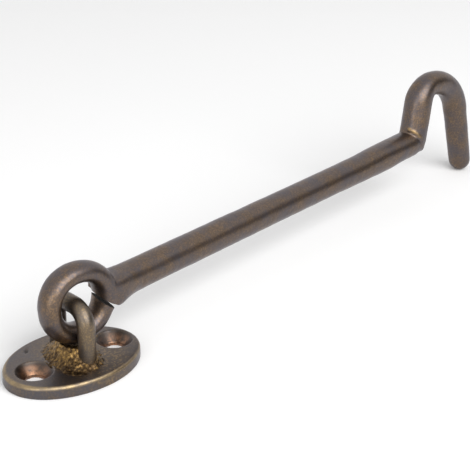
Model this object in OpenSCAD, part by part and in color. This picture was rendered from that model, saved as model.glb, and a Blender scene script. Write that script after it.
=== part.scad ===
// Cabin hook for a casement window, in aged brass. An oval plate carries a staple, which is
// brazed to it, and a round rod is linked through the staple by its eye. The other end of the
// rod is bent up and over into a hook.
// Millimetres, Z up. The origin is on the underside of the plate, straight below the staple.
// X runs from the plate toward the hook, and Y runs along the staple.

/* [Plate] */
// Length of the oval plate
plate_length = 35.2; // [31:0.1:44]
// Width of the oval plate
plate_width = 25; // [24:0.2:34]
// Thickness of the plate
plate_thickness = 3.1; // [2.4:0.1:5]
// Rounding of the plate's top edge
plate_edge = 0.9; // [0.3:0.1:1.4]
// How far the middle of the oval lies behind the staple
plate_setback = 0.3; // [0:0.1:1.5]

/* [Screw holes] */
// Distance between the two screw holes
screw_spacing = 23; // [21:0.5:26]
// Diameter of the hole for the screw's shank
screw_bore = 4.4; // [3.6:0.1:5.4]
// Diameter of the countersink at the plate's face
screw_head = 9.1; // [7:0.1:10]
// How far the middle of the pair of holes lies ahead of the staple
screw_lead = 0.5; // [0:0.1:1.5]

/* [Staple] */
// Diameter of the staple's wire
wire = 4.2; // [3.4:0.1:5]
// Radius of the staple's two bends, on the wire's axis
staple_bend = 4.3; // [3.8:0.1:5]
// How far the staple's bow lies above the middle of the eye
bow_rise = 0.3; // [-0.5:0.1:0.8]
// Width of the peened end of each leg, under the plate
peened_end = 5.6; // [4.6:0.1:6.4]

/* [Brazing] */
// Height of the seat for the eye above the plate's face
seat_height = 2.7; // [2:0.1:4]
// Height of the brazing metal beside the seat
braze_height = 4.6; // [3.6:0.1:6]
// Length of the brazing metal on the plate, along the staple
braze_length = 18.4; // [17:0.2:20]
// Width of the brazing metal on the plate
braze_width = 10; // [8:0.2:12]

/* [Eye] */
// Radius of the eye, on the rod's axis
eye_radius = 7.7; // [7.2:0.05:9]
// Thickness of the rod in the eye, measured in the eye's plane
eye_depth = 5; // [4.4:0.1:5.6]
// Width of the rod in the eye, measured across it
eye_width = 6.4; // [5.2:0.1:7]
// Growth of the eye, outward and to each side, where it runs into the rod
neck_swell = 0.5; // [0.2:0.1:1]
// Width of the slit at the inside of the eye
slit_inside = 0.25; // [0.15:0.05:0.6]
// Width of the slit where it opens under the rod
slit_mouth = 0.7; // [0.3:0.05:1]
// Slope of the slit below the level
slit_slope = 37; // [30:1:42]
// How far the slit's middle lies round the eye, below the rod's axis
slit_angle = 17; // [14:1:20]

/* [Link] */
// Gap between the eye and the seat that it turns in
seat_gap = 0.4; // [0.3:0.05:0.6]
// Gap between the eye's side and each leg of the staple
side_gap = 0.35; // [0.3:0.05:1]
// Gap between the staple's bow and the inside of the eye
bow_gap = 1.3; // [0.5:0.1:1.5]

/* [Rod] */
// Diameter of the rod beside the eye
rod_dia = 7.8; // [7:0.1:9]
// Diameter of the rod at its waist, two thirds of the way to the hook
rod_waist_dia = 7.5; // [6.5:0.1:8.5]
// Diameter of the rod before the hook
rod_end_dia = 8.1; // [7:0.1:9]
// Length from the middle of the eye to the corner where the hook turns up
rod_length = 135.1; // [80:0.1:240]
// How far the rod's axis lies above the middle of the eye
rod_rise = 0.1; // [0:0.1:0.6]
// How far the rod falls along its length
rod_fall = 0.3; // [0:0.1:1]
// Turn of the rod to the side, away from the eye's plane
rod_turn = 7.2; // [0:0.1:9]
// Depth of the heel that the rod forms beside the slit
heel = 1.1; // [0.5:0.1:1.4]

/* [Hook] */
// Diameter of the upright limb
upright_dia = 8.1; // [7:0.1:9]
// Length of the upright limb
upright_length = 12; // [9:0.1:20]
// Angle of the upright limb to the rod
upright_angle = 80; // [70:1:90]
// How far the hook's outer corner is rounded back
corner_round = 1.3; // [0:0.1:2]
// Radius of the first bend of the arch
crown_radius = 5.5; // [5.2:0.1:9]
// Angle of the first bend of the arch
crown_turn = 79; // [65:1:85]
// Radius of the second bend of the arch
shoulder_radius = 15.1; // [10:0.1:18]
// Angle of the second bend of the arch
shoulder_turn = 76; // [65:1:85]
// Diameter of the rod over the arch
arch_dia = 7; // [6:0.1:8]
// Diameter at the rounded point
point_dia = 6.6; // [5:0.1:7]

/* [Hidden] */

$fn = 72;
sides = 36;
cut = 0.5;
// The rounding meets the plate's face and wall at a small angle, so the cut has clear ends.
edge_lap = 0.04;
brass = [0.47, 0.38, 0.26];
brazing_brass = [0.78, 0.60, 0.30];

// The eye sits in the seat, and the staple's bow passes through the rear of its hole.
eye_hole = eye_radius - eye_depth / 2;
eye_reach = eye_radius + eye_depth / 2;
eye_x = eye_hole - wire / 2 - bow_gap;
eye_z = plate_thickness + seat_height + seat_gap + eye_reach;

bow_z = eye_z + bow_rise;
leg_y = eye_width / 2 + side_gap + wire / 2;
bow_half = max(leg_y - staple_bend, 0.1);
leg_top = bow_z - staple_bend;
peen_depth = (peened_end - wire) / 2;

screw_depth = (screw_head - screw_bore) / 2;
mound_top = plate_thickness + braze_height;
groove_depth = eye_depth / 2 + seat_gap;
groove_width = eye_width / 2 + side_gap;

// The rod runs level or falls a little, so the hook's corner is found from the eye.
corner = [rod_length, rod_rise - rod_fall];
crown_start = corner + upright_length * heading(upright_angle);
crown_end = on_bend(crown_start, upright_angle, crown_radius, crown_turn);
shoulder_heading = upright_angle - crown_turn;
shoulder_end = on_bend(crown_end, shoulder_heading, shoulder_radius, shoulder_turn);
point_heading = shoulder_heading - shoulder_turn;
// The point comes down to the plane of the plate's underside.
point_length = (shoulder_end[1] + eye_z - point_dia / 2) / -heading(point_heading)[1];

slit_middle = eye_radius * heading(-slit_angle);
// A cutter that spans the eye's section and no more of the ring.
slit_span = 2.35 * eye_depth;

// The rod's root starts inside the eye's section and ends where the rod is plain.
root_start = eye_radius - 1;
root_length = 11;
root_steps = 10;
// The root is slimmer at its start, so that it doesn't fill the eye's hole.
root_slim = 0.6;
root_slim_run = 4;
root_lift = 0.9;
root_lift_run = 3;
heel_start = eye_reach + 1.2;
heel_run = 4.5;

// Angles round the eye at which the swelling of the neck has faded out.
fade_over = 60;
fade_under = 34;

flank_lip = 0.3;
waist_place = 2 / 3;

rod_slope = -atan(rod_fall / rod_length);

// Unit vector in the plane of the arm, at an angle above the rod.
function heading(angle) = [cos(angle), sin(angle)];

// Middle of a bend that turns downward, and the place that it reaches after a turn.
function bend_middle(start, angle, radius) = start + radius * heading(angle - 90);
function on_bend(start, angle, radius, turn) =
    bend_middle(start, angle, radius) + radius * heading(angle - turn + 90);

// Smooth step from 0 to 1.
function ease(t) = let (s = min(max(t, 0), 1)) s * s * (3 - 2 * s);

// A station of a sweep: its middle, the way it faces, and its half sizes in the plane and across.
function station(middle, angle, deep, wide) = [middle, angle, deep, wide];

function section_points(s) = [
    for (j = [0:sides - 1])
        let (turn = 360 * j / sides, edge = s[0] + s[2] * cos(turn) * heading(s[1] + 90))
            [edge[0], s[3] * sin(turn), edge[1]]
];

// Solid swept through oval sections, either closed on itself or with flat ends.
module sweep(stations, closed = false) {
    count = len(stations);
    spans = closed ? count : count - 1;
    points = [for (s = stations) each section_points(s)];
    skin = [
        for (i = [0:spans - 1]) for (j = [0:sides - 1])
            let (a = i * sides, b = ((i + 1) % count) * sides, k = (j + 1) % sides)
                each [[a + j, b + k, b + j], [a + j, a + k, b + k]]
    ];
    caps = closed ? [] : [
        [for (j = [sides - 1:-1:0]) j],
        [for (j = [0:sides - 1]) (count - 1) * sides + j]
    ];
    polyhedron(points, concat(skin, caps), convexity = 8);
}

// Growth near the neck, outward and to both sides. It fades over the top of the eye and at its
// free end.
function swell(angle) =
    angle >= 0 && angle < fade_over ? neck_swell * pow(cos(angle * 90 / fade_over), 2)
    : angle < 0 && angle > -fade_under ? neck_swell * pow(cos(angle * 90 / fade_under), 2)
    : 0;

function eye_station(angle) =
    station((eye_radius + swell(angle) / 2) * heading(angle), angle + 90,
        (eye_depth + swell(angle)) / 2, eye_width / 2 + swell(angle));

eye_stations = [for (angle = [-180:6:174]) eye_station(angle)];

// Underside of the rod's root: a heel beside the slit that sweeps up to the plain rod.
function root_half_width(u) = rod_dia / 2 - root_slim * (1 - ease((u - root_start) / root_slim_run));
function root_drop(u) =
    heel * (1 - ease((u - heel_start) / heel_run))
    - root_lift * (1 - ease((u - root_start) / root_lift_run));
function rod_axis(u) = rod_rise - rod_fall * u / rod_length;

function root_station(u) =
    let (low = root_drop(u))
    station([u, rod_axis(u) - low / 2], rod_slope, (rod_dia + low) / 2, root_half_width(u));

// The plain rod narrows a little to its waist and is full again before the hook.
function rod_station(t) =
    let (dia = t < waist_place
        ? rod_dia + (rod_waist_dia - rod_dia) * ease(t / waist_place)
        : rod_waist_dia + (rod_end_dia - rod_waist_dia) * ease((t - waist_place) / (1 - waist_place)))
    station([rod_length * t, rod_axis(rod_length * t)], rod_slope, dia / 2, dia / 2);

function bend_stations(start, angle, radius, turn, steps, dia_a, dia_b) = [
    for (i = [1:steps])
        let (t = i / steps, dia = dia_a + (dia_b - dia_a) * ease(t))
            station(on_bend(start, angle, radius, turn * t), angle - turn * t, dia / 2, dia / 2)
];

// The hook turns up at a sharp crease. The sections there fan out from the crease.
mitre = (upright_angle - rod_slope) / 2;
corner_dia = (rod_end_dia + upright_dia) / 2;
crease = corner + corner_dia / 2 / cos(mitre) * heading(rod_slope + mitre + 90);
function corner_station(lean) =
    let (facing = rod_slope + mitre * (1 + lean),
        reach = corner_dia / cos(mitre * (1 - abs(lean))) - (lean == 0 ? corner_round : 0))
    station(crease - reach / 2 * heading(facing + 90), facing, reach / 2, corner_dia / 2);

point_end = shoulder_end + point_length * heading(point_heading);

rod_stations = concat(
    [for (i = [0:root_steps]) root_station(root_start + root_length * i / root_steps)],
    [for (t = [0.25:0.1:0.95]) rod_station(t)],
    [for (lean = [-0.6, 0, 0.6]) corner_station(lean)],
    [for (t = [0.6, 1])
        station(corner + upright_length * t * heading(upright_angle), upright_angle,
            upright_dia / 2, upright_dia / 2)],
    bend_stations(crown_start, upright_angle, crown_radius, crown_turn, 9, upright_dia, arch_dia),
    bend_stations(crown_end, shoulder_heading, shoulder_radius, shoulder_turn, 8, arch_dia,
        arch_dia + 0.2),
    [for (t = [0.5, 1])
        station(shoulder_end + point_length * t * heading(point_heading), point_heading,
            (arch_dia + (point_dia - arch_dia) * t) / 2,
            (arch_dia + (point_dia - arch_dia) * t) / 2)],
    [for (turn = [18:18:72])
        station(point_end + point_dia / 2 * sin(turn) * heading(point_heading), point_heading,
            point_dia / 2 * cos(turn), point_dia / 2 * cos(turn))],
    [station(point_end + point_dia / 2 * heading(point_heading), point_heading, 0.3, 0.3)]
);

// Wedge below the slit's upper lip. It ends at the lower lip, or a depth below that.
module slit(below = 0) {
    half = slit_span / 2;
    translate([slit_middle[0], 0, slit_middle[1]])
        rotate([90, slit_slope, 0])
            linear_extrude(2 * slit_span, center = true)
                polygon([[-half, slit_inside / 2], [-half, -slit_inside / 2 - below],
                    [half, -slit_mouth / 2 - below], [half, slit_mouth / 2]]);
}

// Eye, neck, rod and hook are one piece of bent rod.
module hook_arm() {
    color(brass)
        translate([eye_x, 0, eye_z])
            union() {
                difference() {
                    sweep(eye_stations, closed = true);
                    slit();
                }
                difference() {
                    rotate([0, 0, rod_turn])
                        sweep(rod_stations);
                    // Nothing of the rod's root reaches across the slit.
                    slit(below = slit_span);
                }
            }
}

// Quarter of a ring of wire, from the leg toward the bow.
module staple_corner() {
    translate([0, bow_half, leg_top])
        rotate([90, 0, 90])
            rotate_extrude(angle = 90)
                translate([staple_bend, 0])
                    circle(d = wire);
}

module staple() {
    color(brass)
        for (side = [0, 1])
            mirror([0, side, 0]) {
                staple_corner();
                translate([0, leg_y, peen_depth])
                    cylinder(d = wire, h = leg_top - peen_depth);
                translate([0, leg_y, 0])
                    cylinder(d1 = peened_end, d2 = wire, h = peen_depth);
                translate([0, 0, bow_z])
                    rotate([-90, 0, 0])
                        cylinder(d = wire, h = bow_half);
            }
}

module leg_holes() {
    for (side = [-1, 1])
        translate([0, side * leg_y, 0]) {
            translate([0, 0, -cut])
                cylinder(d = wire, h = mound_top + 2 * cut);
            translate([0, 0, -cut])
                cylinder(d1 = peened_end + 2 * cut, d2 = wire, h = peen_depth + cut);
        }
}

module screw_hole() {
    translate([0, 0, -cut])
        cylinder(d = screw_bore, h = plate_thickness + 2 * cut);
    translate([0, 0, plate_thickness - screw_depth])
        cylinder(d1 = screw_bore, d2 = screw_head + 2 * cut, h = screw_depth + cut);
}

// Ring that rounds the oval's top edge when it is cut away.
module edge_cutter() {
    inset = plate_length / 2 - plate_edge;
    level = plate_thickness - plate_edge;
    scale([1, plate_width / plate_length, 1])
        rotate_extrude()
            difference() {
                translate([inset, level])
                    square(plate_edge + cut);
                translate([inset + edge_lap, level + edge_lap])
                    circle(r = plate_edge);
            }
}

module plate() {
    color(brass)
        difference() {
            translate([-plate_setback, 0, 0])
                intersection() {
                    difference() {
                        translate([0, 0, -cut])
                            linear_extrude(plate_thickness + 2 * cut)
                                scale([1, plate_width / plate_length])
                                    circle(d = plate_length);
                        edge_cutter();
                    }
                    // Slab whose two faces are the plate's face and underside.
                    translate([-plate_length, -plate_length, 0])
                        cube([2 * plate_length, 2 * plate_length, plate_thickness]);
                }
            for (side = [-1, 1])
                translate([screw_lead + side * screw_spacing / 2, 0, 0])
                    screw_hole();
            leg_holes();
        }
}

// Hollow flank: the metal runs out thin on the plate and climbs steeply to its top.
module mound() {
    flank = braze_length / 2 - leg_y;
    translate([0, 0, plate_thickness])
        scale([braze_width / braze_length, 1, 1])
            rotate_extrude()
                difference() {
                    square([braze_length / 2, braze_height]);
                    translate([braze_length / 2, braze_height])
                        scale([flank, braze_height - flank_lip])
                            circle(r = 1);
                }
}

module brazing() {
    color(brazing_brass)
        difference() {
            mound();
            leg_holes();
            // Seat for the eye, concentric with it.
            translate([eye_x, 0, eye_z])
                rotate([90, 0, 0])
                    rotate_extrude()
                        translate([eye_radius, 0])
                            scale([groove_depth, groove_width])
                                circle(r = 1);
            // Room above the seat, between the legs.
            translate([0, 0, eye_z])
                cube([braze_width * 2, 2 * (leg_y - wire / 2), 2 * eye_radius], center = true);
        }
}

plate();
staple();
brazing();
hook_arm();
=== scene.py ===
# %% [markdown]
# # A window hook in antiqued brass
# A cabin hook holds a casement window open. It has four pieces: an oval plate, a staple of round
# wire that stands on it, the brazing metal that joins the two, and one long rod. The rod's near
# end is bent into an eye round the staple, and its far end is bent up and over into a hook.
# The measured model comes in first, and everything made here is set against it.

import math

import bmesh
import bpy
from mathutils import Matrix, Vector, noise


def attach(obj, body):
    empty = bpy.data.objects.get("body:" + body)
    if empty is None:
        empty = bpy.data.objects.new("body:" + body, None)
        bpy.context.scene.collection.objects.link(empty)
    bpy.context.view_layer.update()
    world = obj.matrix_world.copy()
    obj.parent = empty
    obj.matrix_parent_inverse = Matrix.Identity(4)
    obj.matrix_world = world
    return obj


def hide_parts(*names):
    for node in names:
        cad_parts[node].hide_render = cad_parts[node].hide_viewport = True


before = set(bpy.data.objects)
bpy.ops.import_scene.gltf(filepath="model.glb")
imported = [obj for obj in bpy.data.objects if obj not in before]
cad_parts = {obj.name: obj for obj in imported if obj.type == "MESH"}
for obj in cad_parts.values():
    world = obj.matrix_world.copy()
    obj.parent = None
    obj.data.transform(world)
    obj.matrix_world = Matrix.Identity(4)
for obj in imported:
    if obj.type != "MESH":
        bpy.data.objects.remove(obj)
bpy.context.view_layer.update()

# %% [markdown]
# The sizes below are the real ones in millimetres, and nearly all are the measured model's own, so
# each finer mesh lies where the plain solid was. The slit and the heel under it are the exception.
# The measured model has a straight slit and a larger heel, and here the slit is tilted and opens
# wider at its mouth, as in the photograph. The origin is under the plate, below the staple, and X
# runs toward the hook.

# %% Sizes of the plate, the staple and the brazing metal
MM = 0.001
PLATE_LENGTH, PLATE_WIDTH, PLATE_THICKNESS = 35.2, 25.0, 3.1
PLATE_EDGE, PLATE_SETBACK = 0.9, 0.3
SCREW_SPACING, SCREW_LEAD = 23.0, 0.5
SCREW_BORE, SCREW_HEAD = 4.4, 9.1
WIRE, PEENED_END, STAPLE_BEND = 4.2, 5.6, 4.3
SEAT_HEIGHT, SEAT_GAP, SIDE_GAP = 2.7, 0.4, 0.35
BOW_GAP, BOW_RISE = 1.3, 0.3
BRAZE_HEIGHT, BRAZE_LENGTH, BRAZE_WIDTH = 4.6, 18.4, 10.0
print("plate:", PLATE_LENGTH, "x", PLATE_WIDTH, "x", PLATE_THICKNESS, "mm; wire:", WIRE, "mm")

# %% Sizes of the eye and the rod
EYE_RADIUS, EYE_DEPTH, EYE_WIDTH = 7.7, 5.0, 6.4
NECK_SWELL = 0.5
ROD_DIA, ROD_WAIST_DIA, ROD_END_DIA, ROD_LENGTH = 7.8, 7.5, 8.1, 135.1
ROD_RISE, ROD_FALL, ROD_TURN = 0.1, 0.3, 7.2
ROD_SLOPE = -math.degrees(math.atan(ROD_FALL / ROD_LENGTH))
WAIST_PLACE = 2 / 3
print("eye to hook corner:", ROD_LENGTH, "mm; rod:", ROD_DIA, "mm")

# %% Sizes of the hook
UPRIGHT_DIA, UPRIGHT_LENGTH, UPRIGHT_ANGLE = 8.1, 12.0, 80.0
CORNER_ROUND, CORNER_LIFT = 1.3, 0.7
CROWN_RADIUS, CROWN_TURN = 5.5, 79.0
SHOULDER_RADIUS, SHOULDER_TURN, SHOULDER_SWELL = 15.1, 76.0, 0.2
ARCH_DIA, POINT_DIA = 7.0, 6.6
print("hook:", UPRIGHT_LENGTH, "mm upright;", CROWN_TURN + SHOULDER_TURN, "degrees of arch")

# %% Where the pieces meet
EYE_X = EYE_RADIUS - EYE_DEPTH / 2 - WIRE / 2 - BOW_GAP
EYE_Z = PLATE_THICKNESS + SEAT_HEIGHT + SEAT_GAP + EYE_RADIUS + EYE_DEPTH / 2
LEG_Y = EYE_WIDTH / 2 + SIDE_GAP + WIRE / 2
BOW_Z = EYE_Z + BOW_RISE
print("middle of the eye:", round(EYE_X, 2), round(EYE_Z, 2), "mm; legs at", round(LEG_Y, 2), "mm")

# %% [markdown]
# ## Helpers for meshes
# A bent rod is easiest to think of as a row of oval sections, called stations here. Each one has
# a middle, the way it faces, and two half sizes. Skinning the row gives a closed tube. The eye
# and the rod are skinned apart and then joined on a fine grid of voxels, which melts them into
# one piece of metal with a soft fillet, as forging does. A boolean would leave a hard seam.

# %% Directions and smooth steps
def heading(angle):
    """Unit vector in the plane of the arm, at an angle in degrees above the rod."""
    return Vector((math.cos(math.radians(angle)), 0.0, math.sin(math.radians(angle))))


def ease(t):
    """Smooth step from 0 to 1."""
    t = min(max(t, 0.0), 1.0)
    return t * t * (3 - 2 * t)


def fade(place, start, length):
    """1 before the start, 0 once the length is past, and smooth between them."""
    return 1 - ease((place - start) / length)


print("half way through a smooth step:", ease(0.5))

# %% Skin a row of sections
def oval(middle, facing, deep, wide, full=0.0, sides=48):
    """Points of one section: deep lies in the plane of the arm, wide across it.

    A full of 0 is a plain oval, and more than that fills out its corners.
    """
    out = heading(facing + 90)
    across = Vector((0.0, 1.0, 0.0))
    ring = []
    for i in range(sides):
        c, s = math.cos(math.tau * i / sides), math.sin(math.tau * i / sides)
        c, s = math.copysign(abs(c) ** (1 - full), c), math.copysign(abs(s) ** (1 - full), s)
        ring.append(middle + out * (deep * c) + across * (wide * s))
    return ring


def skin(name, rings, closed=False):
    """A mesh object through rings of points that are given in millimetres."""
    mesh = bmesh.new()
    rows = [[mesh.verts.new(p * MM) for p in ring] for ring in rings]
    pairs = zip(rows, rows[1:] + rows[:1] if closed else rows[1:])
    for near, far in pairs:
        for i in range(len(near)):
            mesh.faces.new((near[i - 1], near[i], far[i], far[i - 1]))
    if not closed:
        mesh.faces.new(rows[0])
        mesh.faces.new(rows[-1][::-1])
    bmesh.ops.recalc_face_normals(mesh, faces=mesh.faces)
    data = bpy.data.meshes.new(name)
    mesh.to_mesh(data)
    mesh.free()
    piece = bpy.data.objects.new(name, data)
    bpy.context.scene.collection.objects.link(piece)
    return piece


print("points in a section:", len(oval(Vector(), 0, 1, 1)))

# %% [markdown]
# Modifiers do the heavy work on whole meshes: one remeshes on voxels, one relaxes, one cuts. Each
# is applied at once, so the next step works on real points. The last helper pushes each point
# along its normal, which is how dents, grains and burrs are made from a formula.

# %% Join, melt and cut
def apply_modifiers(piece):
    """Replaces the piece's mesh by what its modifiers make of it."""
    depsgraph = bpy.context.evaluated_depsgraph_get()
    data = bpy.data.meshes.new_from_object(piece.evaluated_get(depsgraph))
    piece.modifiers.clear()
    piece.data = data


def join(name, *pieces):
    """One object with the meshes of several, which are then removed."""
    mesh = bmesh.new()
    for piece in pieces:
        mesh.from_mesh(piece.data)
        bpy.data.objects.remove(piece)
    data = bpy.data.meshes.new(name)
    mesh.to_mesh(data)
    mesh.free()
    joined = bpy.data.objects.new(name, data)
    bpy.context.scene.collection.objects.link(joined)
    return joined


def melt(piece, voxel, rounds):
    """Remeshes on voxels of that size in millimetres, then relaxes the surface."""
    grid = piece.modifiers.new("melt", "REMESH")
    grid.mode = "VOXEL"
    grid.voxel_size = voxel * MM
    relax = piece.modifiers.new("relax", "SMOOTH")
    relax.factor = 0.5
    relax.iterations = rounds
    apply_modifiers(piece)


def cut(piece, *cutters):
    """Takes the cutters' shapes out of the piece, and removes the cutters."""
    for cutter in cutters:
        step = piece.modifiers.new("cut", "BOOLEAN")
        step.operation = "DIFFERENCE"
        step.solver = "EXACT"
        step.object = cutter
    apply_modifiers(piece)
    for cutter in cutters:
        bpy.data.objects.remove(cutter)


# %% Shade and push
def shade_smooth(piece, sharp=40.0):
    """Smooth shading, with edges kept crisp where faces meet at more than that angle."""
    piece.data.shade_smooth()
    piece.data.set_sharp_from_angle(angle=math.radians(sharp))


def push(piece, height):
    """Moves each point along its normal by height(place), all in millimetres."""
    points = piece.data.vertices
    moved = [p.co + p.normal * (height(p.co / MM) * MM) for p in points]
    points.foreach_set("co", [c for place in moved for c in place])
    piece.data.update()


def grain(place, size, seed=0.0):
    """Fractal noise from about -1 to 1, with lumps of that size in millimetres."""
    return noise.fractal(place / size + Vector((seed, 5 * seed, 3 * seed)), 0.8, 2.0, 3)


print("a sample of the grain:", round(grain(Vector((1.0, 2.0, 3.0)), 4.5), 3))

# %% [markdown]
# ## The arm
# On the real hook the eye, the rod and the hook are one bar. The smith bends the eye round until
# its end nearly meets the rod, which leaves a slit. The bar is thicker where the eye runs into
# it, with a heel under the slit. All of that is in the stations: their middles follow the bend,
# and their half sizes swell at the neck. The eye was bent by hand, so it isn't quite round.

# %% Stations of the eye
EYE_STATIONS = 180
BULGE, BULGE_ANGLE, BULGE_SPREAD = 0.3, 142, 30
FLAT, FLAT_ANGLE, FLAT_SPREAD = 0.22, 80, 26
SWELL_ABOVE, SWELL_BELOW = 60, 34


def swell(angle):
    """Growth near the neck, outward and to both sides, in millimetres."""
    if 0 <= angle < SWELL_ABOVE:
        return NECK_SWELL * math.cos(math.radians(angle * 90 / SWELL_ABOVE)) ** 2
    if -SWELL_BELOW < angle < 0:
        return NECK_SWELL * math.cos(math.radians(angle * 90 / SWELL_BELOW)) ** 2
    return 0.0


def out_of_round(angle):
    """The eye bulges a little at its upper left and is flatter at its top."""
    bulge = BULGE * math.exp(-(((angle - BULGE_ANGLE) / BULGE_SPREAD) ** 2))
    return bulge - FLAT * math.exp(-(((angle - FLAT_ANGLE) / FLAT_SPREAD) ** 2))


def eye_section(angle):
    """One station of the eye. Angles run round from the rod, which is at 0."""
    more = swell(angle)
    middle = heading(angle) * (EYE_RADIUS + more / 2 + out_of_round(angle))
    return oval(middle, angle + 90, (EYE_DEPTH + more) / 2, EYE_WIDTH / 2 + more)


eye_angles = [-180 + 360 / EYE_STATIONS * i for i in range(EYE_STATIONS)]
eye = skin("eye", [eye_section(angle) for angle in eye_angles], closed=True)
print("eye points:", len(eye.data.vertices))

# %% [markdown]
# The rod starts inside the eye as a root with full corners, which fills the front of the neck.
# From there it is plain round bar, a little slimmer at its waist. Its underside rises slightly
# just before the hook, where the smith's bend drew it in.

# %% Stations of the rod
ROOT_START, ROOT_STEP, ROOT_STATIONS = EYE_RADIUS - 1, 0.5, 23
HEEL, HEEL_START, HEEL_SWEEP = 0.2, EYE_RADIUS + EYE_DEPTH / 2 + 0.1, 3.6
ROOT_LIFT, ROOT_LIFT_SWEEP = 0.9, 3
ROOT_NARROWING, ROOT_NARROWING_SWEEP = 0.25, 5
NECK_FILL, NECK_FILL_START, NECK_FILL_SWEEP = 1.0, ROOT_START + 3, 9
NECK_CORNERS, NECK_CORNERS_START, NECK_CORNERS_SWEEP = 0.42, ROOT_START + 2, 8
PLAIN_START, PLAIN_STATIONS = 20, 50
BEND_GAP = 7
LIFT_START, LIFT_LENGTH = 15, 8


def rod_axis(u):
    """The rod's middle at a distance from the middle of the eye."""
    return Vector((u, 0.0, ROD_RISE - ROD_FALL * u / ROD_LENGTH))


def root_section(u):
    """The rod's root: square and flush with the eye, with a heel that sweeps up to the rod."""
    heel = HEEL * fade(u, HEEL_START, HEEL_SWEEP)
    low = heel - ROOT_LIFT * fade(u, ROOT_START, ROOT_LIFT_SWEEP)
    side = NECK_FILL * fade(u, NECK_FILL_START, NECK_FILL_SWEEP)
    narrowing = ROOT_NARROWING * fade(u, ROOT_START, ROOT_NARROWING_SWEEP)
    half = ROD_DIA / 2 - narrowing + side / 2
    full = NECK_CORNERS * fade(u, NECK_CORNERS_START, NECK_CORNERS_SWEEP)
    middle = rod_axis(u) - Vector((0, side / 2, low / 2))
    return oval(middle, ROD_SLOPE, (ROD_DIA + low) / 2, half, full)


def rod_section(u):
    """The plain rod narrows a little to its waist and is full again before the hook."""
    t = u / ROD_LENGTH
    dia = ROD_DIA + (ROD_WAIST_DIA - ROD_DIA) * ease(t / WAIST_PLACE)
    if t > WAIST_PLACE:
        dia += (ROD_END_DIA - ROD_WAIST_DIA) * ease((t - WAIST_PLACE) / (1 - WAIST_PLACE))
    lift = CORNER_LIFT * ease((u - ROD_LENGTH + LIFT_START) / LIFT_LENGTH)
    middle = rod_axis(u) + Vector((0, 0, lift / 2))
    return oval(middle, ROD_SLOPE, (dia - lift) / 2, dia / 2)


rod_rings = [root_section(ROOT_START + ROOT_STEP * i) for i in range(ROOT_STATIONS)]
plain_length = ROD_LENGTH - BEND_GAP - PLAIN_START
for i in range(PLAIN_STATIONS):
    rod_rings.append(rod_section(PLAIN_START + plain_length * i / (PLAIN_STATIONS - 1)))
print("stations up to the corner:", len(rod_rings))

# %% [markdown]
# The hook turns up at a sharp corner, so the stations there fan out from one crease, as the pages
# of a book do from its spine. The outside of the corner is worn round, more on the rod's side than
# on the upright's. A plain mitre would need a bevel afterwards, and the bevel would be even.

# %% Stations of the hook's corner
CORNER_LEANS = (-0.8, -0.6, -0.45, -0.3, -0.15, 0.0, 0.15, 0.3, 0.45, 0.6)
ROUND_LEAN, ROUND_POWER, LIFT_LEAN = 0.8, 0.7, 0.3
corner = rod_axis(ROD_LENGTH)
corner_dia = (ROD_END_DIA + UPRIGHT_DIA) / 2
mitre = (UPRIGHT_ANGLE - ROD_SLOPE) / 2
crease_reach = corner_dia / 2 / math.cos(math.radians(mitre))
crease = corner + heading(ROD_SLOPE + mitre + 90) * crease_reach


def corner_section(lean):
    """One station of the fan: a lean of -1 is square to the rod, and 1 to the upright."""
    facing = ROD_SLOPE + mitre * (1 + lean)
    reach = corner_dia / math.cos(math.radians(mitre * (1 - abs(lean))))
    uneven = 1.15 - 1.1 * lean
    rounding = CORNER_ROUND * uneven * (1 - min(abs(lean) / ROUND_LEAN, 1)) ** ROUND_POWER
    reach -= max(rounding, CORNER_LIFT * ease(-lean / LIFT_LEAN))
    middle = crease - heading(facing + 90) * (reach / 2)
    return oval(middle, facing, reach / 2, corner_dia / 2)


rod_rings += [corner_section(lean) for lean in CORNER_LEANS]
print("stations in the corner:", len(CORNER_LEANS), "mitre:", round(mitre, 2), "degrees")

# %% [markdown]
# After the upright, the arch is two bends of different radius, and the last stretch runs straight
# down and tapers. Its length is worked out, so that the point just reaches the ground.

# %% Stations of the arch
CROWN_STEPS, SHOULDER_STEPS = 20, 24


def bend(start, angle, radius, turn, steps, dia_from, dia_to):
    """Sections round a downward bend, and the place where it ends."""
    middle = start + heading(angle - 90) * radius
    turns = [angle - turn * i / steps for i in range(1, steps + 1)]
    places = [middle + heading(facing + 90) * radius for facing in turns]
    bend_rings = []
    for i, (place, facing) in enumerate(zip(places, turns), 1):
        dia = dia_from + (dia_to - dia_from) * ease(i / steps)
        bend_rings.append(oval(place, facing, dia / 2, dia / 2))
    return bend_rings, places[-1]


for share in (0.6, 0.8, 1.0):
    arch_start = corner + heading(UPRIGHT_ANGLE) * (UPRIGHT_LENGTH * share)
    rod_rings.append(oval(arch_start, UPRIGHT_ANGLE, UPRIGHT_DIA / 2, UPRIGHT_DIA / 2))
crown, crown_end = bend(
    arch_start, UPRIGHT_ANGLE, CROWN_RADIUS, CROWN_TURN, CROWN_STEPS, UPRIGHT_DIA, ARCH_DIA
)
shoulder, arch_end = bend(
    crown_end,
    UPRIGHT_ANGLE - CROWN_TURN,
    SHOULDER_RADIUS,
    SHOULDER_TURN,
    SHOULDER_STEPS,
    ARCH_DIA,
    ARCH_DIA + SHOULDER_SWELL,
)
rod_rings += crown + shoulder
print("stations in the arch:", len(crown) + len(shoulder))

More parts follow.
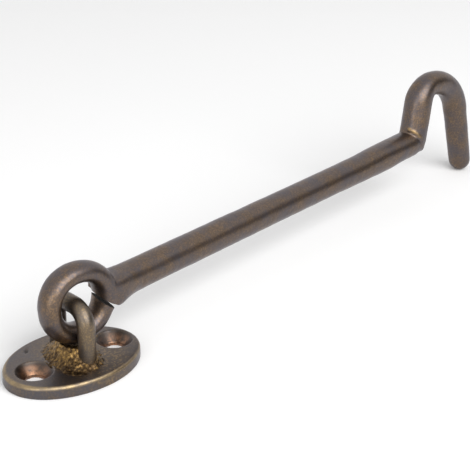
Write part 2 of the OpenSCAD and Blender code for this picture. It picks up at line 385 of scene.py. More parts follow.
# %% Stations of the point
POINT_STEPS, TIP_STEPS, TIP_STEP_ANGLE = 10, 8, 10.6
point_angle = UPRIGHT_ANGLE - CROWN_TURN - SHOULDER_TURN
point_way = heading(point_angle)
point_length = (arch_end.z + EYE_Z - POINT_DIA / 2) / -point_way.z
for i in range(1, POINT_STEPS + 1):
    half = (ARCH_DIA + (POINT_DIA - ARCH_DIA) * i / POINT_STEPS) / 2
    taper_place = arch_end + point_way * (point_length * i / POINT_STEPS)
    rod_rings.append(oval(taper_place, point_angle, half, half))
tip_middle = arch_end + point_way * point_length
for i in range(1, TIP_STEPS + 1):
    tip_turn = math.radians(TIP_STEP_ANGLE * i)
    tip_place = tip_middle + point_way * (POINT_DIA / 2 * math.sin(tip_turn))
    half = POINT_DIA / 2 * math.cos(tip_turn)
    rod_rings.append(oval(tip_place, point_angle, half, half))
rod = skin("rod", rod_rings)
tip_height = abs(tip_middle.z - POINT_DIA / 2 + EYE_Z)
print("rod stations:", len(rod_rings), "point to the ground:", round(tip_height, 2), "mm")

# %% [markdown]
# The rod is turned a few degrees to the side, as the photographed one is, and its root is cut off
# along the middle of the slit. It is then melted together with the eye. The slit is cut last, as a
# wedge, so that its lips and the heel's tip stay as crisp as sawn bar. The wedge is tilted about
# its own length and set a little high, so that it can be seen through only at its mouth.

# %% Melt the eye and the rod into one bar
SLIT_SLOPE, SLIT_ANGLE, SLIT_TILT, SLIT_RAISE = 37.0, 17.0, 8.0, 0.5
BAR_VOXEL, BAR_ROUNDS = 0.25, 12


def prism(name, outline, half_width):
    """A solid between two copies of an outline of (x, z) pairs, used as a cutter."""
    sides = (-half_width, half_width)
    return skin(name, [[Vector((x, y, z)) for x, z in outline] for y in sides])


slit_middle = heading(-SLIT_ANGLE) * EYE_RADIUS + Vector((0, 0, SLIT_RAISE))
slit_place = Matrix.Translation(slit_middle * MM)
slit_place = slit_place @ Matrix.Rotation(math.radians(SLIT_SLOPE), 4, "Y")
slit_place = slit_place @ Matrix.Rotation(math.radians(SLIT_TILT), 4, "X")
to_eye = Matrix.Translation(Vector((EYE_X, 0, EYE_Z)) * MM)
# This cutter reaches past the root on every side.
below = prism("below_slit", [(-14, 0), (-14, -16), (16, -16), (16, 0)], 14)
below.data.transform(slit_place)
rod.data.transform(Matrix.Rotation(math.radians(ROD_TURN), 4, "Z"))
cut(rod, below)
arm = join("arm_bar", eye, rod)
arm.data.transform(to_eye)
melt(arm, BAR_VOXEL, BAR_ROUNDS)
print("arm points before the slit:", len(arm.data.vertices))

# %% Saw the slit
MOUTH_ABOVE, MOUTH_BELOW = 0.975, 0.325
INSIDE_ABOVE, INSIDE_BELOW = 0.225, 0.36
SLIT_REACH, MOUTH_REACH, SLIT_HALF_WIDTH = 6, 9, 9
slit_outline = [
    (-SLIT_REACH, INSIDE_ABOVE),
    (-SLIT_REACH, -INSIDE_BELOW),
    (SLIT_REACH, -MOUTH_BELOW),
    (MOUTH_REACH, -MOUTH_BELOW),
    (MOUTH_REACH, MOUTH_ABOVE),
    (SLIT_REACH, MOUTH_ABOVE),
]
slit = prism("slit", slit_outline, SLIT_HALF_WIDTH)
slit.data.transform(to_eye @ slit_place)
cut(arm, slit)
print("arm points:", len(arm.data.vertices))

# %% [markdown]
# The bend of the hook left traces. Metal gathered on top of the rod behind it, and a burr stands
# beside the crease, on the side that faces the camera. Faint dents all over keep the bar from
# looking drawn by a machine. All three are one formula, which pushes the points of the mesh.

# %% Find the crease
def turned(way):
    """A place or a direction in the plane of the arm, turned to the side with the rod."""
    return Matrix.Rotation(math.radians(ROD_TURN), 3, "Z") @ way


crease_place = turned(crease) + Vector((EYE_X, 0, EYE_Z))
crease_along = turned(heading(ROD_SLOPE + mitre))
crease_out = turned(heading(ROD_SLOPE + mitre - 90))
near_side = crease_out.cross(crease_along)
rod_way = turned(heading(ROD_SLOPE))
print("crease at", [round(c, 1) for c in crease_place], "mm")

# %% Dent the bar and raise the burr
DENT, DENT_SIZE, FINE_DENT, FINE_DENT_SIZE = 0.05, 4.5, 0.012, 1.4
GATHERED, GATHERED_LENGTH, GATHERED_RISE = 0.3, 24, 12
BURR_HEIGHT, BURR_HALF_WIDTH, BURR_OFFSET, BURR_LENGTH = 0.2, 0.4, 1.1, 4.4
BURR_WANDER, BURR_WANDER_SIZE = 0.15, 0.8


def bar_dents(p):
    """Dents about 5 mm wide, the metal that gathered behind the bend, and the burr."""
    dent = DENT * grain(p, DENT_SIZE, seed=2.0)
    dent += FINE_DENT * grain(p, FINE_DENT_SIZE, seed=6.0)
    off = p - crease_place
    depth = off.dot(crease_out)
    ahead = off.dot(rod_way)
    if -GATHERED_LENGTH < ahead < 2 and depth < 6:
        behind = ease((ahead + GATHERED_LENGTH) / GATHERED_RISE) * fade(ahead, 0, 2)
        dent += GATHERED * behind * ease((off.z + 5) / 4)
    if off.length < 14 and -2 < depth < 6:
        wandering = BURR_WANDER * grain(p, BURR_WANDER_SIZE, seed=4.0)
        beside = off.dot(crease_along) + wandering - BURR_OFFSET
        shown = ease(off.dot(near_side) / 0.8) * ease(BURR_LENGTH - depth)
        dent += shown * BURR_HEIGHT * math.exp(-((beside / BURR_HALF_WIDTH) ** 2))
    return dent


push(arm, bar_dents)
shade_smooth(arm)
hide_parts("hook_arm")
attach(arm, "arm")
print("arm box:", [round(size / MM, 1) for size in arm.dimensions], "mm")

# %% [markdown]
# ## The staple
# The staple is a length of round wire with two bends. It is skinned in one go along its path,
# from the peened end under the plate, over the bow, and down the other leg. A bevelled curve
# would do as well, but the helpers that skin a row of sections are already at hand.

# %% Bend the staple's wire
LEG_START, LEG_STEP, LEG_STATIONS = 1.5, 0.45, 24
BOW_STEPS = 18
WIRE_DENT, WIRE_DENT_SIZE = 0.03, 3.0


def wire_section(middle, facing, radius, sides=40):
    """Round section in the plane of the staple. Facing 90 looks straight up."""
    out = Vector((0.0, -math.sin(math.radians(facing)), math.cos(math.radians(facing))))
    turns = [math.tau * i / sides for i in range(sides)]
    ahead = Vector((1.0, 0.0, 0.0))
    return [middle + out * (radius * math.cos(t)) + ahead * (radius * math.sin(t)) for t in turns]


bow_half = LEG_Y - STAPLE_BEND
leg_top = BOW_Z - STAPLE_BEND
leg_steps = [(0.0, PEENED_END / 2), ((PEENED_END - WIRE) / 2, WIRE / 2)]
leg_steps += [(LEG_START + LEG_STEP * i, WIRE / 2) for i in range(LEG_STATIONS)]
half_path = [(Vector((0, -LEG_Y, z)), 90.0, radius) for z, radius in leg_steps]
for i in range(BOW_STEPS + 1):
    bow_turn = math.radians(90 * i / BOW_STEPS)
    bow_y = -bow_half - STAPLE_BEND * math.cos(bow_turn)
    bow_place = Vector((0, bow_y, leg_top + STAPLE_BEND * math.sin(bow_turn)))
    half_path.append((bow_place, 90 - 90 * i / BOW_STEPS, WIRE / 2))
other_half = [(Vector((0, -p.y, p.z)), -facing, radius) for p, facing, radius in half_path[::-1]]
staple_rings = [wire_section(*station) for station in half_path + other_half]
staple = skin("staple_wire", staple_rings)
push(staple, lambda p: WIRE_DENT * grain(p, WIRE_DENT_SIZE, seed=7.0))
shade_smooth(staple)
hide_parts("staple")
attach(staple, "base")
print("staple sections:", len(staple_rings))

# %% [markdown]
# ## The plate
# The plate is turned as an oval disc with a rounded top edge. Screw holes with countersinks are
# cut out of it. It is then melted on a fine grid, which softens the lips of the holes, as tumbling
# and wear do. A bevel would give each lip the same even width. The staple's legs fill their holes,
# so those aren't cut here. A small casting pit lies beside one screw hole.

# %% Turn the oval disc
FOOT_CHAMFER, EDGE_STEPS = 0.2, 8


def disc_rings(profile, squash, sides=160):
    """Rings of an oval body of revolution from (radius, height) pairs."""
    turns = [math.tau * i / sides for i in range(sides)]
    rings = []
    for radius, z in profile:
        points = [(radius * math.cos(t), radius * squash * math.sin(t)) for t in turns]
        rings.append([Vector((x, y, z)) for x, y in points])
    return rings


half_length = PLATE_LENGTH / 2
edge_foot = PLATE_THICKNESS - PLATE_EDGE
profile = [(half_length - FOOT_CHAMFER, 0.0), (half_length, FOOT_CHAMFER), (half_length, edge_foot)]
for i in range(1, EDGE_STEPS + 1):
    edge_turn = math.radians(90 * i / EDGE_STEPS)
    edge_radius = half_length - PLATE_EDGE * (1 - math.cos(edge_turn))
    profile.append((edge_radius, PLATE_THICKNESS - PLATE_EDGE * (1 - math.sin(edge_turn))))
plate = skin("oval_plate", disc_rings(profile, PLATE_WIDTH / PLATE_LENGTH))
plate.data.transform(Matrix.Translation((-PLATE_SETBACK * MM, 0, 0)))
print("rings of the plate:", len(profile))

# %% Countersink the screw holes
PLATE_VOXEL, PLATE_ROUNDS = 0.17, 2
sink = (SCREW_HEAD - SCREW_BORE) / 2
cutters = []
for side in (-1, 1):
    bore, head = SCREW_BORE / 2, SCREW_HEAD / 2
    stack = [(bore, -1), (bore, PLATE_THICKNESS - sink), (head + 1, PLATE_THICKNESS + 1)]
    hole = skin("screw_hole", disc_rings(stack, 1.0, 96))
    hole.data.transform(Matrix.Translation(((SCREW_LEAD + side * SCREW_SPACING / 2) * MM, 0, 0)))
    cutters.append(hole)
cut(plate, *cutters)
melt(plate, PLATE_VOXEL, PLATE_ROUNDS)
print("countersinks:", round(sink, 2), "mm deep")

# %% Press in the casting pit
PIT_PLACE, PIT_DEPTH = Vector((-7.1, 8.8, PLATE_THICKNESS)), 0.5
PIT_NARROW, PIT_LONG = 0.3, 1.6
PLATE_DENT, PLATE_DENT_SIZE = 0.02, 3.0


def plate_dents(p):
    """Faint unevenness everywhere, and the casting pit, which is longer one way."""
    off = p - PIT_PLACE
    pit = math.exp(-((off.x - off.y) ** 2 / PIT_NARROW + (off.x + off.y) ** 2 / PIT_LONG))
    dent = PLATE_DENT * grain(p, PLATE_DENT_SIZE, seed=9.0)
    return dent - (PIT_DEPTH * pit if abs(off.z) < 0.6 else 0.0)


push(plate, plate_dents)
shade_smooth(plate, 60)
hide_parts("plate")
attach(plate, "base")
print("plate points:", len(plate.data.vertices))

# %% [markdown]
# ## The brazing metal
# Brazing metal is run in with a torch. It climbs the legs, thins out to a film on the plate, and
# stays grainy. It is built as a field of heights over its footprint: the lower of a mound and the
# seat that the eye turns in, plus the grains. Sculpting would look as good, but a formula follows
# the eye and the plate when one of their sizes changes.

# %% Outline the brazing metal on the plate
FOOT_FRONT, FOOT_BACK, FOOT_SKEW, FOOT_ENDS = 6.3, 6.9, 0.4, 0.3
FOOT_RAGGED, FOOT_RAGGED_SIZE = 0.05, 2.5
RUNOUT, RUNOUT_ANGLE, RUNOUT_SPREAD = 0.22, 228, 26


def footprint(turn):
    """Edge of the metal on the plate. It ran out further at one corner, away from the rod."""
    runout = RUNOUT * math.exp(-(((math.degrees(turn) - RUNOUT_ANGLE) / RUNOUT_SPREAD) ** 2))
    reach = FOOT_FRONT if math.cos(turn) > 0 else FOOT_BACK - FOOT_SKEW * math.sin(turn)
    spot = Vector((reach * math.cos(turn), (BRAZE_LENGTH / 2 + FOOT_ENDS) * math.sin(turn), 0))
    return spot * (1 + runout + FOOT_RAGGED * grain(spot, FOOT_RAGGED_SIZE, seed=11.0))


print("footprint at the front:", round(footprint(0.0).x, 2), "mm from the staple")

# %% Heights of the mound and the seat
FLANK, FLANK_CURVE, FILM, FILM_WIDTH = 0.52, 1.45, 0.25, 0.35
BACK_SPREAD, BACK_SKEW, CREST_SAG, ROOM_FOR_GRAINS = 1.3, 0.12, 0.84, 0.3
GROOVE_SIDE, GROOVE_GAP, NO_GROOVE = 0.4, 0.5, 99.0


def mound_height(x, y):
    """Height above the plate: a crest between the legs, and flanks that end in a thin film."""
    half_x = BRAZE_WIDTH / 2
    if x <= 0:
        half_x += BACK_SPREAD - BACK_SKEW * y
    out = math.hypot(x / half_x, y / (BRAZE_LENGTH / 2))
    down = min(max((out - 1 + FLANK) / FLANK, 0.0), 1.0)
    film = FILM * fade(out, 1, FILM_WIDTH)
    sag = CREST_SAG + (1 - CREST_SAG) * ease((x + 1.5) / 2) + 0.1 * ease(abs(y) / 3 - 1)
    return film + (BRAZE_HEIGHT - ROOM_FOR_GRAINS) * sag * (1 - down) ** FLANK_CURVE


def seat_height(x, y):
    """Height of the groove that clears the eye, or far up where there is no groove."""
    groove = EYE_WIDTH / 2 + GROOVE_SIDE
    if abs(y) >= groove:
        return NO_GROOVE
    reach = EYE_RADIUS + (EYE_DEPTH / 2 + GROOVE_GAP) * math.sqrt(1 - (y / groove) ** 2)
    return EYE_Z - math.sqrt(max(reach**2 - (x - EYE_X) ** 2, 0.0)) - PLATE_THICKNESS


print("crest:", round(mound_height(0, 5), 2), "mm; seat:", round(seat_height(EYE_X, 0), 2), "mm")

# %% Build up the brazing metal
BRAZE_RINGS, BRAZE_POINTS, EDGE_RINGS = 78, 260, 16
BRAZE_SINK, EDGE_DIP = 0.4, 0.12

edge_line = [footprint(math.tau * i / BRAZE_POINTS) for i in range(BRAZE_POINTS)]
braze_rings = [[spot + Vector((0, 0, PLATE_THICKNESS - BRAZE_SINK)) for spot in edge_line]]
for k in range(BRAZE_RINGS):
    risen = ease(k / EDGE_RINGS)
    ring = []
    for edge_spot in edge_line:
        spot = edge_spot * (1 - k / BRAZE_RINGS)
        height = min(mound_height(spot.x, spot.y), seat_height(spot.x, spot.y))
        z = PLATE_THICKNESS - EDGE_DIP * (1 - risen) + height * risen
        ring.append(spot + Vector((0, 0, z)))
    braze_rings.append(ring)
brazing = skin("brazing_metal", braze_rings)
print("rings of brazing metal:", len(braze_rings))

# %% Raise the grains
GRAIN, GRAIN_SIZE, FINE_GRAIN, FINE_GRAIN_SIZE = 0.17, 1.5, 0.08, 0.6
CLEAR_SIDE, CLEAR_GAP = 0.6, 0.45


def brazed_lumps(p):
    """Grains of two sizes, which stop short of the groove that the eye turns in."""
    lump = GRAIN * grain(p, GRAIN_SIZE, seed=3.0)
    lump += FINE_GRAIN * grain(p, FINE_GRAIN_SIZE, seed=8.0)
    if abs(p.y) < EYE_WIDTH / 2 + CLEAR_SIDE:
        clear = math.hypot(p.x - EYE_X, p.z - EYE_Z) - EYE_RADIUS - EYE_DEPTH / 2 - CLEAR_GAP
        lump = min(lump, max(clear, 0.0))
    return lump


push(brazing, brazed_lumps)
shade_smooth(brazing, 80)
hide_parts("brazing")
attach(brazing, "base")
print("brazing points:", len(brazing.data.vertices))

# %% [markdown]
# ## Helpers for finishes
# Colours are written as sRGB hex, as a colour picker shows them, and one function turns them to
# the linear values that Blender works in. A second small function adds any node with its settings
# and links, so that a finish reads as a list of what feeds what.

# %% Colour and node helpers
def colour(code):
    """Linear RGBA from an sRGB hex code."""
    parts = [int(code[i : i + 2], 16) / 255 for i in (1, 3, 5)]
    return [c / 12.92 if c <= 0.04045 else ((c + 0.055) / 1.055) ** 2.4 for c in parts] + [1.0]


def add(tree, kind, **given):
    """Adds a shader node of that kind.

    Names in small letters are the node's own settings and come first. Names with a capital are
    its inputs, and i0, i1 and so on are inputs by place. An input takes a value, a socket, or
    another node, which gives its first output that is in use.
    """
    node = tree.nodes.new("ShaderNode" + kind)
    for key, value in given.items():
        by_place = key[0] == "i" and key[1:].isdigit()
        if not by_place and key[0].islower():
            setattr(node, key, value)
            continue
        socket = node.inputs[int(key[1:]) if by_place else key.replace("_", " ")]
        if isinstance(value, bpy.types.Node):
            value = next(output for output in value.outputs if output.enabled)
        if isinstance(value, bpy.types.NodeSocket):
            tree.links.new(value, socket)
        else:
            socket.default_value = value
    return node


def new_material(name):
    """An empty material and its node tree."""
    material = bpy.data.materials.new(name)
    material.use_nodes = True
    material.node_tree.nodes.clear()
    return material, material.node_tree


def place_on_object(tree):
    """The socket that gives each point's place on the object, in metres."""
    return add(tree, "TexCoord").outputs["Object"]


def dress(piece, material):
    """The piece wears this material and no other."""
    piece.data.materials.clear()
    piece.data.materials.append(material)


print("mid grey in linear light:", round(colour("#808080")[0], 3))

# %% [markdown]
# ## Antiqued brass
# The bar is brass rod that was darkened in an antiquing bath and then rubbed back. The bath
# leaves a grey-brown skin with fine specks of brass showing through it. Rubbing warms it in broad
# soft clouds. What turns away from the eye goes grey, which is the skin's own edge tint, and a
# thin wax coat lies over everything. Brass is a metal, so the base is fully metallic and keeps the
# default index of refraction. Both patterns are noise in real millimetres, because an image would
# have to be unwrapped and would show its seams.

# %% Make the antiqued brass
CLOUD_SIZE, SPECK_SIZE = 6.0, 0.45
BRASS_ROUGHNESS, WAX_ROUGHNESS = 0.4, 0.38


def antiqued_brass(name, grey, brown, speck):
    """Clouds about 6 mm wide between grey and brown, with brass specks of about 0.4 mm.

    Gives back the material, its node tree, its shader and the place on the object.
    """
    material, tree = new_material(name)
    spot = place_on_object(tree)
    clouds = add(
        tree, "TexNoise", Vector=spot, Scale=1 / (CLOUD_SIZE * MM), Detail=4.0, Roughness=0.6
    )
    specks = add(
        tree, "TexNoise", Vector=spot, Scale=1 / (SPECK_SIZE * MM), Detail=2.0, Roughness=0.6
    )
    warmth = add(tree, "MapRange", Value=clouds, From_Min=0.38, From_Max=0.62)
    bath = add(tree, "Mix", data_type="RGBA", i0=warmth, i6=colour(grey), i7=colour(brown))
    shining = add(tree, "MapRange", Value=warmth, To_Min=0.25, To_Max=0.75)
    through = add(tree, "MapRange", Value=specks, From_Min=0.46, From_Max=0.68, To_Max=shining)
    metal = add(tree, "Mix", data_type="RGBA", i0=through, i6=bath, i7=colour(speck))
    shine = add(
        tree,
        "MapRange",
        Value=specks,
        From_Min=0.3,
        From_Max=0.7,
        To_Min=BRASS_ROUGHNESS + 0.06,
        To_Max=BRASS_ROUGHNESS - 0.05,
    )
    surface = add(
        tree,
        "BsdfPrincipled",
        Base_Color=metal,
        Metallic=1.0,
        Roughness=shine,
        Specular_Tint=colour("#b4b1ba"),
        Normal=add(tree, "Bump", Strength=0.3, Distance=0.03 * MM, Height=specks),
        Coat_Weight=1.0,
        Coat_Roughness=WAX_ROUGHNESS,
    )
    add(tree, "OutputMaterial", Surface=surface)
    return material, tree, surface, spot


def blend_in(tree, surface, mask, code):
    """Puts another colour over the surface's present one where the mask is 1."""
    present = surface.inputs["Base Color"].links[0].from_socket
    mixed = add(tree, "Mix", data_type="RGBA", i0=mask, i6=present, i7=colour(code))
    tree.links.new(mixed.outputs[2], surface.inputs["Base Color"])


print("brass clouds:", CLOUD_SIZE, "mm; specks:", SPECK_SIZE, "mm")

# %% [markdown]
# The rod carries one bright mark beside the crease of the hook, where the burr's fresh brass
# shows. The mask for it is a thin slab: a band along one direction, cut to length along two more
# and broken up by noise, because a burr is never rubbed evenly.

# %% Brighten the burr
WANDER_SIZE = 1.2
bar_brass, tree, surface, spot = antiqued_brass(
    "antiqued_brass_rod", "#463e40", "#52402f", "#7f6241"
)
wander = add(tree, "TexNoise", Vector=spot, Scale=1 / (WANDER_SIZE * MM), Detail=2.0)
from_crease = add(tree, "VectorMath", operation="SUBTRACT", i0=spot, i1=crease_place * MM)
along = add(tree, "VectorMath", operation="DOT_PRODUCT", i0=from_crease, i1=crease_along)
depth = add(tree, "VectorMath", operation="DOT_PRODUCT", i0=from_crease, i1=crease_out)
aside = add(tree, "VectorMath", operation="DOT_PRODUCT", i0=from_crease, i1=near_side)
sway = add(tree, "Math", operation="MULTIPLY_ADD", i0=wander, i1=0.9 * MM, i2=along)
centred = add(tree, "Math", operation="SUBTRACT", i0=sway, i1=(BURR_OFFSET + 0.45) * MM)
width = add(tree, "Math", operation="ABSOLUTE", i0=centred)
band = add(
    tree, "MapRange", Value=width, From_Min=0.15 * MM, From_Max=0.6 * MM, To_Min=0.9, To_Max=0.0
)
near_end = add(tree, "MapRange", Value=aside, From_Min=0.2 * MM, From_Max=0.9 * MM)
far_end = add(
    tree, "MapRange", Value=depth, From_Min=3.0 * MM, From_Max=3.8 * MM, To_Min=1.0, To_Max=0.0
)
broken = add(tree, "MapRange", Value=wander, From_Min=0.35, From_Max=0.55, To_Min=0.2)
length = add(tree, "Math", operation="MULTIPLY", i0=near_end, i1=far_end)
whole = add(tree, "Math", operation="MULTIPLY", i0=band, i1=length)
mark = add(tree, "Math", operation="MULTIPLY", i0=whole, i1=broken)
blend_in(tree, surface, mark, "#856a3e")
dress(arm, bar_brass)
print("finish on the arm:", bar_brass.name)

# %% [markdown]
# ## Painted shade in the slit
# The slit's two faces wear a matt, near-black finish that is painted shade for the dark inside of
# the narrow slit. Its shader isn't metallic, so no sheen greys it. Only those two faces wear it.
# They are found by where they lie and which way they face, because a mask in space would also
# blacken the lips.

# %% Make the painted slit shade
SLIT_SHADE_GRAIN_SIZE = 0.6
painted_slit_shade, tree = new_material("painted_slit_shade")
spot = place_on_object(tree)
slit_shade_grain = add(tree, "TexNoise", Vector=spot, Scale=1 / (SLIT_SHADE_GRAIN_SIZE * MM), Detail=3.0)
# Painted shade: two near-black colours, mottled by noise, stand in for the shade inside the slit.
slit_shade_and_plate_mottle = add(tree, "Mix", data_type="RGBA", i0=slit_shade_grain, i6=colour("#120e0b"), i7=colour("#2b231d"))
surface = add(
    tree,
    "BsdfPrincipled",
    Base_Color=slit_shade_and_plate_mottle,
    Roughness=0.75,
    Normal=add(tree, "Bump", Strength=0.4, Distance=0.05 * MM, Height=slit_shade_grain),
)
add(tree, "OutputMaterial", Surface=surface)
print("finish made:", painted_slit_shade.name)

# %% Paint shade on the slit's faces
slit_up = (to_eye @ slit_place).to_3x3() @ Vector((0, 0, 1))
slit_world = slit_middle + Vector((EYE_X, 0, EYE_Z))
# The faces that lie in the slit get the painted shade as their second material.
arm.data.materials.append(painted_slit_shade)
for face in arm.data.polygons:
    off = face.center / MM - slit_world
    flat = abs(face.normal.dot(slit_up)) > 0.9
    if flat and off.length < SLIT_REACH and abs(off.dot(slit_up)) < 1:
        face.material_index = 1
print("faces with black scale:", sum(face.material_index for face in arm.data.polygons))

# %% [markdown]
# The staple is the same brass, drawn as wire. Wire is smoother than bar and less of the bath
# stays on it, so its skin is lighter and yellower.

# %% Finish the staple
wire_brass, *_ = antiqued_brass("antiqued_brass_wire", "#4b423a", "#5d4d39", "#8c7349")
dress(staple, wire_brass)
print("finish on the staple:", wire_brass.name)

# %% [markdown]
# The plate is greyer than the rod. Its screw holes were countersunk after the bath, so their
# walls show coppery bare metal, and the countersinks are darkened with painted shade. Flux from
# the brazing browned the middle of the plate and left golden specks. The plate's top edge is
# rubbed bright, and this bright band is partly a painted highlight on the rounded edge. Each of
# these is a mask and a colour, laid over the antiqued brass one after the other.

# %% Start the plate's finish
SOOT_SIZE = 2.5
plate_brass, tree, surface, spot = antiqued_brass(
    "antiqued_brass_plate", "#443f43", "#4c4037", "#6e5a40"
)
apart = add(tree, "SeparateXYZ", i0=spot)
slit_shade_and_plate_mottle = add(tree, "TexNoise", Vector=spot, Scale=1 / (SOOT_SIZE * MM), Detail=4.0, Roughness=0.65)
print("finish started:", plate_brass.name)

# %% Mask the screw holes
from_middle = add(tree, "Math", operation="SUBTRACT", i0=apart.outputs["X"], i1=SCREW_LEAD * MM)
folded = add(tree, "Math", operation="ABSOLUTE", i0=from_middle)
from_hole = add(tree, "Math", operation="SUBTRACT", i0=folded, i1=SCREW_SPACING / 2 * MM)
hole_place = add(tree, "CombineXYZ", i0=from_hole, i1=apart.outputs["Y"], i2=0.0)
hole_radius = add(tree, "VectorMath", operation="LENGTH", i0=hole_place)
countersink_shade, in_bore = (
    add(
        tree,
        "MapRange",
        Value=hole_radius,
        From_Min=radius * MM,
        From_Max=(radius + blur) * MM,
        To_Min=1.0,
        To_Max=0.0,
    )
    for radius, blur in ((SCREW_HEAD / 2 - 0.5, 0.4), (SCREW_BORE / 2 + 0.5, 1.5))
)
print("hole masks:", SCREW_HEAD, "and", SCREW_BORE, "mm wide")

# %% Brown the middle and scatter gold
STAIN_SCALE, STAIN_SHIFT = (1 / 8.5, 1 / 11, 0), (-0.25 * MM, 0.1 * MM, 0)
GOLD_SIZE = 0.55
stain_place = add(
    tree, "VectorMath", operation="MULTIPLY_ADD", i0=spot, i1=STAIN_SCALE, i2=STAIN_SHIFT
)
from_braze = add(tree, "VectorMath", operation="LENGTH", i0=stain_place)
ragged = add(tree, "Math", operation="MULTIPLY_ADD", i0=slit_shade_and_plate_mottle, i1=0.9 * MM, i2=from_braze)
stain = add(
    tree, "MapRange", Value=ragged, From_Min=1.3 * MM, From_Max=1.7 * MM, To_Min=0.8, To_Max=0.0
)
dots = add(tree, "TexNoise", Vector=spot, Scale=1 / (GOLD_SIZE * MM), Detail=2.0, Roughness=0.5)
gold = add(tree, "MapRange", Value=dots, From_Min=0.5, From_Max=0.64)
gold_here = add(tree, "Math", operation="MULTIPLY", i0=gold, i1=stain)
blend_in(tree, surface, stain, "#54432f")
blend_in(tree, surface, gold_here, "#94794e")
print("gold specks:", GOLD_SIZE, "mm")

# %% Bare the metal in the holes and paint their shade
scraped = add(tree, "MapRange", Value=slit_shade_and_plate_mottle, From_Min=0.38, From_Max=0.6, To_Min=0.1)
copper = add(tree, "Math", operation="MULTIPLY", i0=scraped, i1=in_bore)
# Painted shade: the whole countersink is darkened to a dark brown, for the shade in its hollow.
blend_in(tree, surface, countersink_shade, "#30241c")
blend_in(tree, surface, copper, "#9a6d4b")
print("nodes in the plate's finish:", len(tree.nodes))

# %% Rub the edge, paint its highlight and darken the pit
PLATE_SCALE = (2 / PLATE_LENGTH, 2 / PLATE_WIDTH, 0)
oval_place = add(tree, "VectorMath", operation="MULTIPLY", i0=spot, i1=PLATE_SCALE)
oval_radius = add(tree, "VectorMath", operation="LENGTH", i0=oval_place)
outer_edge = add(tree, "MapRange", Value=oval_radius, From_Min=0.95 * MM, From_Max=0.98 * MM)
upper_edge = add(
    tree,
    "MapRange",
    Value=apart.outputs["Z"],
    From_Min=edge_foot * MM,
    From_Max=(PLATE_THICKNESS - PLATE_EDGE / 2) * MM,
    To_Max=0.7,
)
wear_and_highlight_breakup = add(tree, "MapRange", Value=slit_shade_and_plate_mottle, From_Min=0.35, From_Max=0.6, To_Min=0.3)
edge = add(tree, "Math", operation="MULTIPLY", i0=outer_edge, i1=upper_edge)
rubbed_edge_and_highlight = add(tree, "Math", operation="MULTIPLY", i0=edge, i1=wear_and_highlight_breakup)
# Painted highlight: the golden band on the top edge's rounding is partly real wear and partly a
# painted highlight.
blend_in(tree, surface, rubbed_edge_and_highlight, "#a58d62")
from_pit = add(tree, "VectorMath", operation="DISTANCE", i0=spot, i1=PIT_PLACE * MM)
in_pit = add(
    tree, "MapRange", Value=from_pit, From_Min=0.4 * MM, From_Max=0.8 * MM, To_Min=0.9, To_Max=0.0
)
blend_in(tree, surface, in_pit, "#241c16")
dress(plate, plate_brass)
print("finish on the plate:", plate_brass.name)

# %% [markdown]
# ## Brazed metal
# The brazing metal was left as it ran. Its grains have golden tops and dark flux between them.
# The same noise raises the grains' bumps and colours them, so the bright tops are partly a painted
# highlight and the dark between them is partly painted shade. Toward its edge the metal thins to a
# brown film with fewer grains. A ramp of four colours over one noise gives flux, film, metal and
# bright tops in one go.

# %% Make the brazed metal
LUMP_SIZE = 0.75
brazed, tree = new_material("brazed_metal")
spot = place_on_object(tree)
lumps = add(tree, "TexNoise", Vector=spot, Scale=1 / (LUMP_SIZE * MM), Detail=4.0, Roughness=0.65)
from_staple = add(tree, "VectorMath", operation="MULTIPLY", i0=spot, i1=(1 / 6.6, 1 / 9.4, 0))
outward = add(tree, "VectorMath", operation="LENGTH", i0=from_staple)
thin = add(
    tree, "MapRange", Value=outward, From_Min=0.6 * MM, From_Max=1.05 * MM, To_Max=0.14
)
level = add(tree, "Math", operation="SUBTRACT", i0=lumps, i1=thin)
# Painted light, in part: the ramp runs from dark hollows to bright tops of the noise that bumps the
# grains.
ramp = add(tree, "ValToRGB", Fac=level)
stops = ramp.color_ramp.elements
stops[0].position, stops[1].position = 0.32, 0.72
stops[0].color, stops[1].color = colour("#3b2e20"), colour("#b89762")
for stop_place, code in ((0.44, "#584631"), (0.56, "#84693f")):
    stops.new(stop_place).color = colour(code)
surface = add(
    tree,
    "BsdfPrincipled",
    Base_Color=ramp,
    Metallic=1.0,
    Roughness=0.42,
    Normal=add(tree, "Bump", Strength=0.5, Distance=0.1 * MM, Height=lumps),
)
add(tree, "OutputMaterial", Surface=surface)
dress(brazing, brazed)
print("finish on the brazing metal:", brazed.name)

# %% [markdown]
# ## The floor, the light and the surround
# The hook lies on board that is painted white and matt, so it takes a soft shadow and mirrors
# nothing. Metal shows what stands round it, so the surround matters as much as the lamps. One large
# soft box to the right of the camera draws the long highlights on the eye and the hook. A narrow
# strip low at the left lights the hook's upright. A matt black card stands low at the front right.
# The camera itself doesn't see it, and the brass mirrors it as the dark band along the rod. The
# world is white for what the camera and the metal see, and dimmer as a light.

# %% Lay the floor
FLOOR_LEFT, FLOOR_RIGHT, FLOOR_FRONT, FLOOR_BACK, FLOOR_DEPTH = -700, 700, -560, 700, 5


def slab(name, left, right, front, back, bottom, top):
    """A flat block between those sides, in millimetres."""
    corners = ((left, front), (right, front), (right, back), (left, back))
    return skin(name, [[Vector((x, y, z)) for x, y in corners] for z in (bottom, top)])


def matt_paint(name, code):
    """Flat paint: rough, with no pattern that would show from here."""
    material, tree = new_material(name)
    paint = add(tree, "BsdfPrincipled", Base_Color=colour(code), Roughness=0.9)
    add(tree, "OutputMaterial", Surface=paint)
    return material


floor = slab("floor", FLOOR_LEFT, FLOOR_RIGHT, FLOOR_FRONT, FLOOR_BACK, -FLOOR_DEPTH, 0)
dress(floor, matt_paint("pale_board", "#fcfcfc"))
print("floor:", FLOOR_RIGHT - FLOOR_LEFT, "x", FLOOR_BACK - FLOOR_FRONT, "mm")

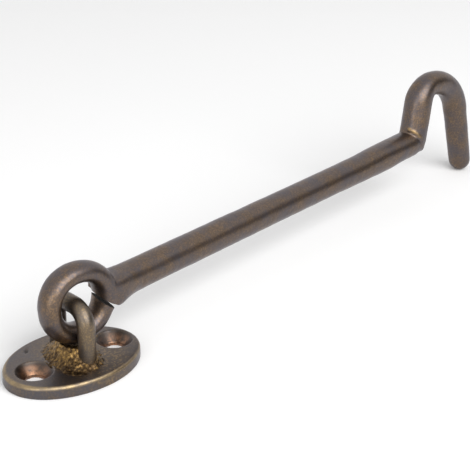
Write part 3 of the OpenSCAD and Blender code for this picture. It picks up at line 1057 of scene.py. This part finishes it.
# %% Set up the lamps
def toward(azimuth, elevation):
    """Unit vector from the object to a viewpoint. Azimuth 0 is the front, with +X to the right."""
    a, e = math.radians(azimuth), math.radians(elevation)
    return Vector((math.sin(a) * math.cos(e), -math.cos(a) * math.cos(e), math.sin(e)))


def soft_box(name, azimuth, elevation, size, radiance, aim, distance=0.9):
    """An area lamp that looks at a place on the object from that direction, in metres."""
    lamp = bpy.data.lights.new(name, "AREA")
    lamp.shape = "RECTANGLE"
    lamp.size, lamp.size_y = size
    lamp.energy = radiance * math.pi * size[0] * size[1]
    holder = bpy.data.objects.new(name, lamp)
    way = toward(azimuth, elevation)
    holder.location = Vector(aim) + way * distance
    holder.rotation_euler = way.to_track_quat("Z", "Y").to_euler()
    bpy.context.scene.collection.objects.link(holder)


soft_box("key_soft_box", -7, 36, size=(1.0, 0.75), radiance=4.0, aim=(0.07, 0.01, 0.015))
soft_box("side_strip", -66, 5, size=(0.3, 0.7), radiance=3.0, aim=(0.14, 0.02, 0.03))

# %% Stand the dark card in front
CARD_AZIMUTH, CARD_DISTANCE = 44, 0.9
CARD_HALF_WIDTH, CARD_BOTTOM, CARD_TOP, CARD_THICKNESS = 700, 2, 460, 12
card = slab(
    "dark_card", 0, CARD_THICKNESS, -CARD_HALF_WIDTH, CARD_HALF_WIDTH, CARD_BOTTOM, CARD_TOP
)
card_turn = Matrix.Rotation(math.radians(CARD_AZIMUTH - 90), 4, "Z")
card.data.transform(card_turn @ Matrix.Translation((CARD_DISTANCE, 0, 0)))
card.visible_camera = False
dress(card, matt_paint("dark_card", "#1c1a1a"))
print("card:", 2 * CARD_HALF_WIDTH, "x", CARD_TOP - CARD_BOTTOM, "mm")

# %% Fill the surround
WORLD_LIGHT = 0.58
world = bpy.data.worlds.new("studio")
bpy.context.scene.world = world
world.use_nodes = True
tree = world.node_tree
tree.nodes.clear()
ray = add(tree, "LightPath").outputs
mirrored = add(
    tree, "Math", operation="MAXIMUM", i0=ray["Is Camera Ray"], i1=ray["Is Glossy Ray"]
)
seen = add(tree, "Math", operation="MAXIMUM", i0=mirrored, i1=ray["Is Transmission Ray"])
strength = add(tree, "MapRange", Value=seen, To_Min=WORLD_LIGHT, To_Max=1.0)
sky = add(tree, "Background", Color=colour("#ffffff"), Strength=strength)
add(tree, "OutputWorld", Surface=sky)
print("surround:", world.name, "with light at", WORLD_LIGHT)

# %% [markdown]
# ## The camera
# The view was found by fitting the hook's outline: the camera stands to the left of the plate and
# looks toward the hook, about 25 degrees down, from about a third of a metre away. The view
# transform is Standard, so that a colour comes out as it is written.

# %% Place the camera
CAMERA_PLACE = Vector((-170.4, -244.1, 169.8)) * MM
CAMERA_AZIMUTH, CAMERA_ELEVATION, CAMERA_ROLL = -42.157, 24.693, 0.259
CAMERA_LENS, SENSOR_WIDTH = 111.25, 36.0
camera_data = bpy.data.cameras.new("camera")
camera_data.sensor_width = SENSOR_WIDTH
camera_data.lens = CAMERA_LENS
camera_data.clip_start, camera_data.clip_end = 0.01, 20.0
camera = bpy.data.objects.new("camera", camera_data)
back = toward(CAMERA_AZIMUTH, CAMERA_ELEVATION)
right = toward(CAMERA_AZIMUTH + 90, 0)
roll = Matrix.Rotation(math.radians(CAMERA_ROLL), 3, back)
axes = Matrix((roll @ right, roll @ back.cross(right), back)).transposed()
camera.matrix_world = Matrix.Translation(CAMERA_PLACE) @ axes.to_4x4()
bpy.context.scene.collection.objects.link(camera)
bpy.context.scene.camera = camera
bpy.context.scene.view_settings.view_transform = "Standard"
print("camera looks along", [round(-c, 3) for c in back])
